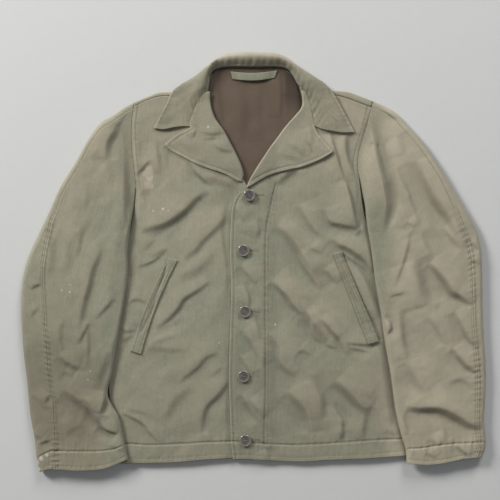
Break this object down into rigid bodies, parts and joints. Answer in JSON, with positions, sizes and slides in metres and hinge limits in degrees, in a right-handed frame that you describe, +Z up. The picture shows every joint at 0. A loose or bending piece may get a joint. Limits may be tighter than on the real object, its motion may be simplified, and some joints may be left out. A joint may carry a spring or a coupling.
{
  "type": "deck jacket",
  "caption": "Button-front cotton deck jacket laid flat, with a collar, lapels, slanted pockets and a wool lining",
  "frame": {"origin": "centre of the jacket's outline on the surface that it lies on", "axes": "+Z up from the surface, +X towards the wearer's left sleeve, +Y towards the collar"},
  "size_m": [0.7919, 0.7136, 0.0204],
  "materials": {
    "shell": "washed cotton drill, matte",
    "facing": "washed cotton drill, a little worn",
    "lining": "napped wool",
    "button": "dished resin, satin"
  },
  "bodies": {
    "root": {"back_panel": "shell", "front_right_panel": "shell", "front_left_panel": "shell", "sleeve_right_top": "shell", "sleeve_right_under": "shell", "sleeve_left_top": "shell", "sleeve_left_under": "shell", "pocket_welt_right": "shell", "pocket_welt_left": "shell", "collar": "facing", "lapel_right": "facing", "lapel_left": "facing", "hanger_loop": "facing", "back_lining": "lining", "button_1": "button", "button_2": "button", "button_3": "button", "button_4": "button", "button_5": "button"}
  },
  "joints": []
}
